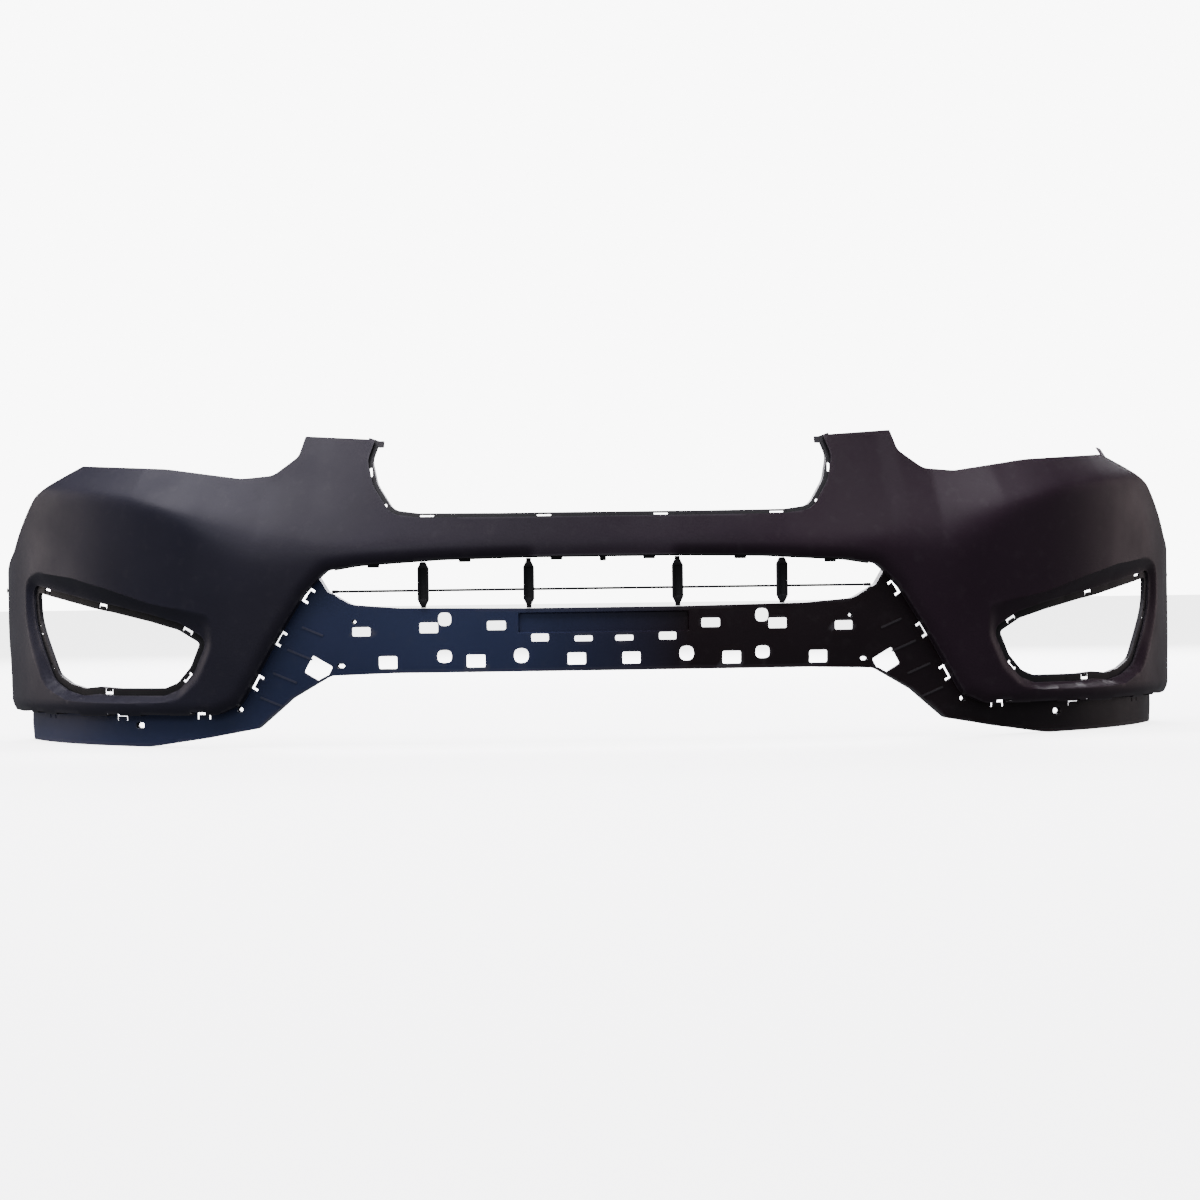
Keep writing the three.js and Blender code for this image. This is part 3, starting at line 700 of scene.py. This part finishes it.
def moulded(name, left, right, roughness, turn=FASCIA_TURN, grain=0.12, edge_wear_and_highlight=0.4):
    """Moulded plastic: one colour at each end, cloudy and dusty, with its convex edges painted lighter,
    partly as wear and partly as a painted highlight.
    """
    material = bpy.data.materials.new(name)
    material.use_nodes = True
    links = material.node_tree.links
    shader = material.node_tree.nodes["Principled BSDF"]
    place = material.node_tree.nodes.new("ShaderNodeTexCoord").outputs["Object"]
    split = material.node_tree.nodes.new("ShaderNodeSeparateXYZ")
    links.new(place, split.inputs["Vector"])

    across = spread(material, split.outputs["X"], *turn)
    base = blend(material, across, left, right)
    cloud = spread(material, noise(material, place, 3.0, 4), 0.34, 0.68)
    lighter = blend(material, across, *(tuple(np.array(end) * CLOUD_GAIN) for end in (left, right)))
    base = blend(material, spread(material, cloud, 0, 1, 0, 0.4), base, lighter)
    dust = spread(material, noise(material, place, 60, 6), 0.56, 0.75, 0, 0.07)
    base = blend(material, dust, base, DUST)
    speck = spread(material, noise(material, place, 700, 2), 0.62, 0.74, 0, 0.06)
    base = blend(material, speck, base, SPECK)
    # Convex edges, found by pointiness, are painted lighter: partly wear, partly a painted highlight.
    edge = material.node_tree.nodes.new("ShaderNodeNewGeometry").outputs["Pointiness"]
    edge = spread(material, edge, 0.53, 0.62, 0, edge_wear_and_highlight)
    base = blend(material, edge, base, EDGE_WEAR_AND_HIGHLIGHT)
    links.new(base, shader.inputs["Base Color"])

    rubbed = noise(material, place, 11, 5)
    rubbed = spread(material, rubbed, 0.3, 0.7, roughness - 0.07, roughness + 0.09)
    links.new(rubbed, shader.inputs["Roughness"])
    shader.inputs["Specular IOR Level"].default_value = SPECULAR

    bump = add_node(material, "ShaderNodeBump", Strength=grain, Distance=0.0004)
    links.new(noise(material, place, 900, 2), bump.inputs["Height"])
    ripple = add_node(material, "ShaderNodeBump", Strength=0.25, Distance=0.0015)
    links.new(noise(material, place, 14, 2), ripple.inputs["Height"])
    links.new(ripple.outputs["Normal"], bump.inputs["Normal"])
    links.new(bump.outputs["Normal"], shader.inputs["Normal"])
    return material


def finish_named(name):
    if name in bpy.data.materials:
        return bpy.data.materials[name]
    look = bpy.context.scene.bumper_finish
    recipes = {
        "fascia_primer": (look.fascia_left, look.fascia_right, look.roughness),
        "apron_primer": (look.apron_left, look.apron_right, look.roughness, APRON_TURN),
        "flange_plastic": (look.flange, look.flange, look.roughness + 0.08, FASCIA_TURN, 0.2, 0.2),
        "rivet_plastic": (look.rivet, look.rivet, 0.38, FASCIA_TURN, 0.08),
    }
    return moulded(name, *recipes[name])


# ---------------------------------------------------------------- settings

class BumperSizes(bpy.types.PropertyGroup):
    cell: bpy.props.FloatProperty(
        name="Skin cell", description="Spacing of the fascia's mesh", default=0.005, unit="LENGTH")
    apron_cell: bpy.props.FloatProperty(
        name="Apron cell", description="Spacing of the apron's mesh", default=0.007, unit="LENGTH")
    seam_roll_width: bpy.props.FloatProperty(
        name="Seam roll width", description="Width of the inward roll along the lower edge", default=0.017,
        unit="LENGTH")
    seam_roll_depth: bpy.props.FloatProperty(
        name="Seam roll depth", description="Depth of the inward roll at the edge", default=0.006,
        unit="LENGTH")
    plate_recess: bpy.props.FloatProperty(
        name="Plate recess", description="Depth of the number-plate seat", default=0.005, unit="LENGTH")
    camera_distance: bpy.props.FloatProperty(
        name="Camera distance", description="Camera in front of the foremost plane", default=3.2,
        unit="LENGTH")
    camera_height: bpy.props.FloatProperty(
        name="Camera height", description="Camera above the floor", default=0.222, unit="LENGTH")
    camera_roll: bpy.props.FloatProperty(
        name="Camera roll", description="Turn of the camera about its view", default=math.radians(0.80),
        subtype="ANGLE")
    camera_side: bpy.props.FloatProperty(
        name="Camera side", description="Turn of the view towards the left-hand wing",
        default=math.radians(2.2), subtype="ANGLE")


class BumperFinish(bpy.types.PropertyGroup):
    # The left-hand colours are cooler and bluer, and on the apron much lighter, than the right-hand ones;
    # each skin turns from one to the other across its width.
    fascia_left: bpy.props.FloatVectorProperty(
        name="Fascia, left", description="Cool charcoal primer of the left-hand wing", subtype="COLOR",
        default=(0.0092, 0.0088, 0.0150))
    fascia_right: bpy.props.FloatVectorProperty(
        name="Fascia, right", description="Warm charcoal primer of the right-hand wing", subtype="COLOR",
        default=(0.0105, 0.0048, 0.0090))
    apron_left: bpy.props.FloatVectorProperty(
        name="Apron, left", description="Cool charcoal primer of the apron", subtype="COLOR",
        default=(0.0170, 0.0235, 0.0560))
    apron_right: bpy.props.FloatVectorProperty(
        name="Apron, right", description="Neutral charcoal primer of the apron", subtype="COLOR",
        default=(0.0066, 0.0034, 0.0048))
    flange: bpy.props.FloatVectorProperty(
        name="Flanges", description="Dark moulded flanges, frames, braces and brackets", subtype="COLOR",
        default=(0.0055, 0.0055, 0.0065))
    rivet: bpy.props.FloatVectorProperty(
        name="Rivets", description="Push rivets and screw grommets", subtype="COLOR",
        default=(0.0045, 0.0045, 0.005))
    roughness: bpy.props.FloatProperty(
        name="Primer roughness", description="Mean roughness of the primer", default=0.42, subtype="FACTOR")


# ---------------------------------------------------------------- pieces

def follow_crease(sheet):
    """Slides the rows of a flat sheet so that one of them runs along the crease."""
    s, y, z = get_points(sheet).T
    crease = ramp(CREASE, np.abs(s))
    low, high = z.min(), z.max()
    below = low + (z - low) * (crease - low) / (CREASE_ROW - low)
    above = crease + (z - CREASE_ROW) * (high - crease) / (high - CREASE_ROW)
    set_points(sheet, np.column_stack([s, y, np.where(z < CREASE_ROW, below, above)]))


class BUMPER_OT_fascia(bpy.types.Operator):
    """Upper fascia: centre bar, horns and wings in one skin, with its return flanges"""
    bl_idname = "bumper.fascia"
    bl_label = "Upper Fascia"

    def execute(self, context):
        cell = context.scene.bumper_sizes.cell * 1000
        outline = fillet(mirrored(FASCIA_LOW + FASCIA_REAR + FASCIA_LAMP + GRILLE_EDGE))
        skin = flat_grid("fascia_skin", *FASCIA_SHEET, cell)
        follow_crease(skin)
        cut(skin, [outline], "INTERSECT")
        skin = score(skin, both_sides([POCKET_LOOP]))
        cut(skin, both_sides([LAND_LOOP] + [circle(s, z, RIVET_HOLE) for s, z in RIVETS]))
        notches = both_sides([round_box(*notch) for notch in SEAM_NOTCHES])
        cut(skin, notches)
        thicken(skin, WALL)
        low = FASCIA_LOW + FASCIA_REAR[:1]
        rear = fillet(FASCIA_REAR + FASCIA_LAMP, False)
        pieces = [
            skin,
            cut(lip("seam_lip", fillet(flip(low) + low, False), SEAM_LIP_DEPTH), notches),
            lip("rear_lip", rear, REAR_LIP_DEPTH),
            lip("rear_lip", flip(rear), REAR_LIP_DEPTH),
            prism("locating_tab", round_box(*LOCATING_TAB), *LOCATING_TAB_DEPTH),
        ]
        piece = bend(join(pieces, "fascia_skin"), fascia_depth)
        nodes = ["fascia_centre", "fascia_wing_left", "fascia_wing_right"]
        finish(piece, nodes, finish_named("fascia_primer"))
        return {"FINISHED"}


class BUMPER_OT_apron(bpy.types.Operator):
    """Lower apron: centre panel with fixing windows, flanks and sills"""
    bl_idname = "bumper.apron"
    bl_label = "Lower Apron"

    def execute(self, context):
        cell = context.scene.bumper_sizes.apron_cell * 1000
        outline = fillet(mirrored(APRON_LOW + APRON_TUCKED + APRON_TOP))
        skin = flat_grid("apron_skin", *APRON_SHEET, cell)
        cut(skin, [outline], "INTERSECT")
        skin = score(skin, [plate_rectangle(PLATE_DRAFT / 2), plate_rectangle(-PLATE_DRAFT / 2)])
        holes = [round_box(*window) for window in WINDOWS]
        holes += [snap_slot(*clip) for clip in APRON_CLIPS]
        holes += [round_box(s, z, w, h, 0.49 * h) for s, z, w, h in SCREW_HOLES]
        cut(skin, both_sides(holes))
        thicken(skin, WALL)
        pieces = [skin, lip("edge_lip", outline, APRON_LIP_DEPTH, True)]
        for side in (-1, 1):
            foot = [(side * s, 0) for s in FOOT_LIP[::side]]
            pieces.append(lip("foot_lip", foot, FOOT_LIP_DEPTH))
            for s, z, width in FLANK_RIBS:
                pieces.append(prism("flank_rib", round_box(side * s, z, width, 3, 1, side * RIB_TURN), -1, 1))
        piece = bend(join(pieces, "apron_skin"), apron_depth)
        finish(piece, ["lower_apron"], finish_named("apron_primer"))
        return {"FINISHED"}


class BUMPER_OT_fog_frames(bpy.types.Operator):
    """Recessed frames round the two fog-lamp openings, with snap tongues"""
    bl_idname = "bumper.fog_frames"
    bl_label = "Fog-Lamp Frames"

    def execute(self, context):
        for label in ("left", "right"):
            edge = sample(FOG_LOOP, 6, True)
            face = ribbon("fog_face", edge, offset(edge, FRAME_COVER, True), (0, 0), True)
            divide(face, 3)
            slots = [snap_slot(s, z, degrees, 18, 8) for s, z, degrees in FOG_SLOTS]
            cut(face, slots + [round_box(*slit) for slit in FOG_SLITS])
            thicken(face, FRAME_WALL)
            tube = lip("fog_tube", FOG_LOOP, FRAME_BEAD, True)
            piece = join([face, tube], f"fog_frame_{label}_piece")
            if label == "left":
                mirror(piece)
            bend(piece, frame_depth)
            finish(piece, [f"fog_frame_{label}"], finish_named("flange_plastic"))
        return {"FINISHED"}


class BUMPER_OT_grille_flange(bpy.types.Operator):
    """Lip behind the bar's top edge and up the inner edges of the horns"""
    bl_idname = "bumper.grille_flange"
    bl_label = "Grille Flange"

    def execute(self, context):
        line = sample(fillet(mirrored(GRILLE_EDGE), False), 8)
        face = ribbon("flange_face", offset(line, FLANGE_OUT), offset(line, FLANGE_IN), (0, 0))
        divide(face, 2)
        cut(face, both_sides([round_box(*hole) for hole in GRILLE_HOLES]))
        thicken(face, FLANGE_WALL)
        pieces = [face, lip("flange_lip", offset(line, FLANGE_OUT), FLANGE_LIP_DEPTH)]
        for side in (-1, 1):
            pieces.append(prism("hook", round_box(side * HOOK_AT[0], *HOOK_AT[1:]), *HOOK_DEPTH))
        piece = bend(join(pieces, "grille_flange_piece"), behind(WALL + FLANGE_BEHIND))
        finish(piece, ["grille_flange"], finish_named("flange_plastic"))
        return {"FINISHED"}


def bar_bottom(s):
    """Height of the bar's lower edge."""
    return float(ramp(FASCIA_LOW[:4], abs(s)))


def apron_top(s):
    """Height of the apron's upper edge."""
    return float(ramp(APRON_TOP[:2:-1], abs(s)))


class BUMPER_OT_intake_parts(bpy.types.Operator):
    """Strip behind the bar's lower edge with its hanging tabs, and the thin tie strip"""
    bl_idname = "bumper.intake_parts"
    bl_label = "Intake Flange and Tie Strip"

    def execute(self, context):
        half = FASCIA_LOW[:3] + [INTAKE_END]
        line = sample(fillet(flip(half) + half, False), 10)
        face = ribbon("intake_face", offset(line, INTAKE_OUT), offset(line, INTAKE_IN), (0, 0))
        thicken(face, FRAME_WALL)
        pieces = [face, prism("nub", round_box(0, 265, 9, 8, 2), *TAB_DEPTH)]
        for s in TAB_AT:
            pieces.append(prism("tab", round_box(s, bar_bottom(s) - 1, 17, 9, 2), *TAB_DEPTH))
        piece = bend(join(pieces, "intake_flange_piece"), behind(APRON_DEPTH + INTAKE_BEHIND))
        finish(piece, ["intake_flange"], finish_named("flange_plastic"))

        line = sample([(-TIE_HALF, TIE_HEIGHT), (TIE_HALF, TIE_HEIGHT)], 10)
        tie = ribbon("tie_face", line, line, TIE_DEPTH)
        thicken(tie, TIE_WALL, 0)
        ends = [
            prism("tie_end", round_box(side * (TIE_HALF - 4), TIE_HEIGHT, 7, 4.6, 1), *TIE_END_DEPTH)
            for side in (-1, 1)
        ]
        piece = bend(join([tie] + ends, "tie_strip_piece"), behind(0))
        finish(piece, ["tie_strip"], finish_named("flange_plastic"))
        return {"FINISHED"}


class BUMPER_OT_braces(bpy.types.Operator):
    """Vertical brace posts across the intake, on thin break-off necks"""
    bl_idname = "bumper.braces"
    bl_label = "Intake Braces"

    def execute(self, context):
        for i, s in enumerate(BRACE_AT, 1):
            top = bar_bottom(s) - BRACE_TOP_GAP
            foot = apron_top(s) + BRACE_FOOT_GAP
            body = prism("brace_body", brace_outline(s), *BRACE_BODY_DEPTH)
            panel = round_box(s, BRACE_HEIGHT, BRACE_WIDTH - 2 * BRACE_RIM, BRACE_STRAIGHT - 1, 2)
            cut(body, [panel], y_range=BRACE_PANEL_DEPTH)
            soften(body, 0.6)
            strip = round_box(s, (top + foot) / 2, BRACE_NECK, top - foot, 0)
            neck = prism("brace_neck", strip, *BRACE_NECK_DEPTH)
            piece = bend(join([body, neck], f"brace_{i}_piece"), behind(0))
            finish(piece, [f"brace_{i}"], finish_named("flange_plastic"))
        return {"FINISHED"}


class BUMPER_OT_brackets(bpy.types.Operator):
    """Fender-joint brackets behind the rear upper edges"""
    bl_idname = "bumper.brackets"
    bl_label = "Side Brackets"

    def execute(self, context):
        for label in ("left", "right"):
            edge = sample(fillet(BRACKET_EDGE, False), 10)
            face = ribbon("bracket_face", offset(edge, BRACKET_OUT), offset(edge, BRACKET_IN), (0, 0))
            slots = [round_box(*slot) for slot in BRACKET_SLOTS]
            cut(face, slots + [circle(s, z, RIVET_HOLE) for s, z in RIVETS])
            thicken(face, FRAME_WALL)
            rim = lip("bracket_rim", offset(edge, BRACKET_IN - LIP_WALL), BRACKET_RIM_DEPTH)
            piece = join([face, rim], f"side_bracket_{label}_piece")
            if label == "left":
                mirror(piece)
            bend(piece, behind(WALL + BRACKET_BEHIND))
            finish(piece, [f"side_bracket_{label}"], finish_named("flange_plastic"))
        return {"FINISHED"}


class BUMPER_OT_hardware(bpy.types.Operator):
    """Screw grommets and push rivets keep their CAD shape and take their finish"""
    bl_idname = "bumper.hardware"
    bl_label = "Grommets and Rivets"

    def execute(self, context):
        for name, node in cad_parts.items():
            if name.startswith(("grommet", "rivet")):
                node.data.materials.clear()
                node.data.materials.append(finish_named("rivet_plastic"))
        return {"FINISHED"}


# ---------------------------------------------------------------- stage

SKY_LIGHT = 0.3
SKY_PALE = 9.0
FLOOR_PALE = 4.0
SENSOR = 36.0
LENS = 68.13
SHIFT = (-1 / 300, -0.01)
# Name, place, turn in degrees, size, power, colour.
LIGHTS = [
    ("overhead", (-0.5, -0.8, 3.0), (13, -8, 0), (4.6, 2.4), 300, (0.97, 0.93, 1.0)),
    ("front_fill", (-1.6, -4.6, 2.2), (62, 0, -18), (5.0, 1.6), 80, (0.93, 0.94, 1.0)),
    ("back_fill", (0.6, 3.6, 2.2), (-66, 0, -8), (5.0, 2.0), 620, (0.97, 0.95, 1.0)),
    ("left_edge", (-2.6, 0.5, 0.7), (90, 0, -104), (1.2, 1.4), 13, (1.0, 0.86, 0.82)),
    ("right_edge", (2.6, 0.5, 0.7), (90, 0, 104), (1.2, 1.4), 9, (1.0, 0.8, 0.8)),
]


class BUMPER_OT_stage(bpy.types.Operator):
    """Plain pale floor, soft light and the front camera"""
    bl_idname = "bumper.stage"
    bl_label = "Stage"

    def execute(self, context):
        nothing_selected()
        bpy.ops.mesh.primitive_plane_add(size=60, location=(0, 0, 0))
        floor = named("floor")
        paint = bpy.data.materials.new("pale_floor")
        paint.use_nodes = True
        shader = paint.node_tree.nodes["Principled BSDF"]
        shader.inputs["Base Color"].default_value = (0.86, 0.86, 0.86, 1)
        shader.inputs["Roughness"].default_value = 0.9
        shader.inputs["Emission Color"].default_value = (1, 1, 1, 1)
        shader.inputs["Emission Strength"].default_value = FLOOR_PALE
        floor.data.materials.append(paint)
        floor.visible_glossy = False
        floor.visible_diffuse = False
        self.sky(context)
        for name, place, turn, size, power, colour in LIGHTS:
            bpy.ops.object.light_add(type="AREA", location=place, rotation=[math.radians(a) for a in turn])
            light = bpy.context.object
            light.name = name
            light.data.shape = "RECTANGLE"
            light.data.size, light.data.size_y = size
            light.data.energy = power
            light.data.color = colour
        self.camera(context)
        return {"FINISHED"}

    def sky(self, context):
        """Dim all round, so that the dark skin stays dark, and pale where the camera looks at it."""
        world = bpy.data.worlds.new("studio")
        context.scene.world = world
        world.use_nodes = True
        nodes = world.node_tree.nodes
        links = world.node_tree.links
        dim = nodes["Background"]
        dim.inputs["Color"].default_value = (0.93, 0.95, 1.0, 1)
        dim.inputs["Strength"].default_value = SKY_LIGHT
        pale = nodes.new("ShaderNodeBackground")
        pale.inputs["Color"].default_value = (1.0, 1.0, 1.0, 1)
        pale.inputs["Strength"].default_value = SKY_PALE
        mix = nodes.new("ShaderNodeMixShader")
        links.new(nodes.new("ShaderNodeLightPath").outputs["Is Camera Ray"], mix.inputs[0])
        links.new(dim.outputs[0], mix.inputs[1])
        links.new(pale.outputs[0], mix.inputs[2])
        links.new(mix.outputs[0], nodes["World Output"].inputs["Surface"])

    def camera(self, context):
        sizes = context.scene.bumper_sizes
        distance = sizes.camera_distance
        side = sizes.camera_side
        place = (
            -distance * math.sin(side), -distance * math.cos(side) - CENTRE_SHIFT * 0.001,
            sizes.camera_height,
        )
        bpy.ops.object.camera_add(location=place, rotation=(math.radians(90), sizes.camera_roll, -side))
        camera = bpy.context.object
        camera.name = "front_camera"
        camera.data.sensor_width = SENSOR
        camera.data.lens = LENS
        camera.data.shift_x, camera.data.shift_y = SHIFT
        camera.data.clip_end = 100
        context.scene.camera = camera


class BUMPER_PT_panel(bpy.types.Panel):
    """Lists the builders and their settings"""
    bl_idname = "BUMPER_PT_panel"
    bl_label = "Bumper Cover"
    bl_space_type = "VIEW_3D"
    bl_region_type = "UI"
    bl_category = "Bumper"

    def draw(self, context):
        layout = self.layout
        for group in (context.scene.bumper_sizes, context.scene.bumper_finish):
            box = layout.box()
            for name in group.__annotations__:
                box.prop(group, name)
        for operator in OPERATORS:
            layout.operator(operator.bl_idname)


OPERATORS = (
    BUMPER_OT_fascia, BUMPER_OT_apron, BUMPER_OT_fog_frames, BUMPER_OT_grille_flange,
    BUMPER_OT_intake_parts, BUMPER_OT_braces, BUMPER_OT_brackets, BUMPER_OT_hardware, BUMPER_OT_stage,
)
CLASSES = (BumperSizes, BumperFinish) + OPERATORS + (BUMPER_PT_panel,)


def register():
    for cls in CLASSES:
        bpy.utils.register_class(cls)
    bpy.types.Scene.bumper_sizes = bpy.props.PointerProperty(type=BumperSizes)
    bpy.types.Scene.bumper_finish = bpy.props.PointerProperty(type=BumperFinish)


def unregister():
    del bpy.types.Scene.bumper_finish
    del bpy.types.Scene.bumper_sizes
    for cls in reversed(CLASSES):
        bpy.utils.unregister_class(cls)


def main():
    register()
    for operator in OPERATORS:
        group, name = operator.bl_idname.split(".")
        getattr(getattr(bpy.ops, group), name)()


if __name__ == "__main__":
    main()
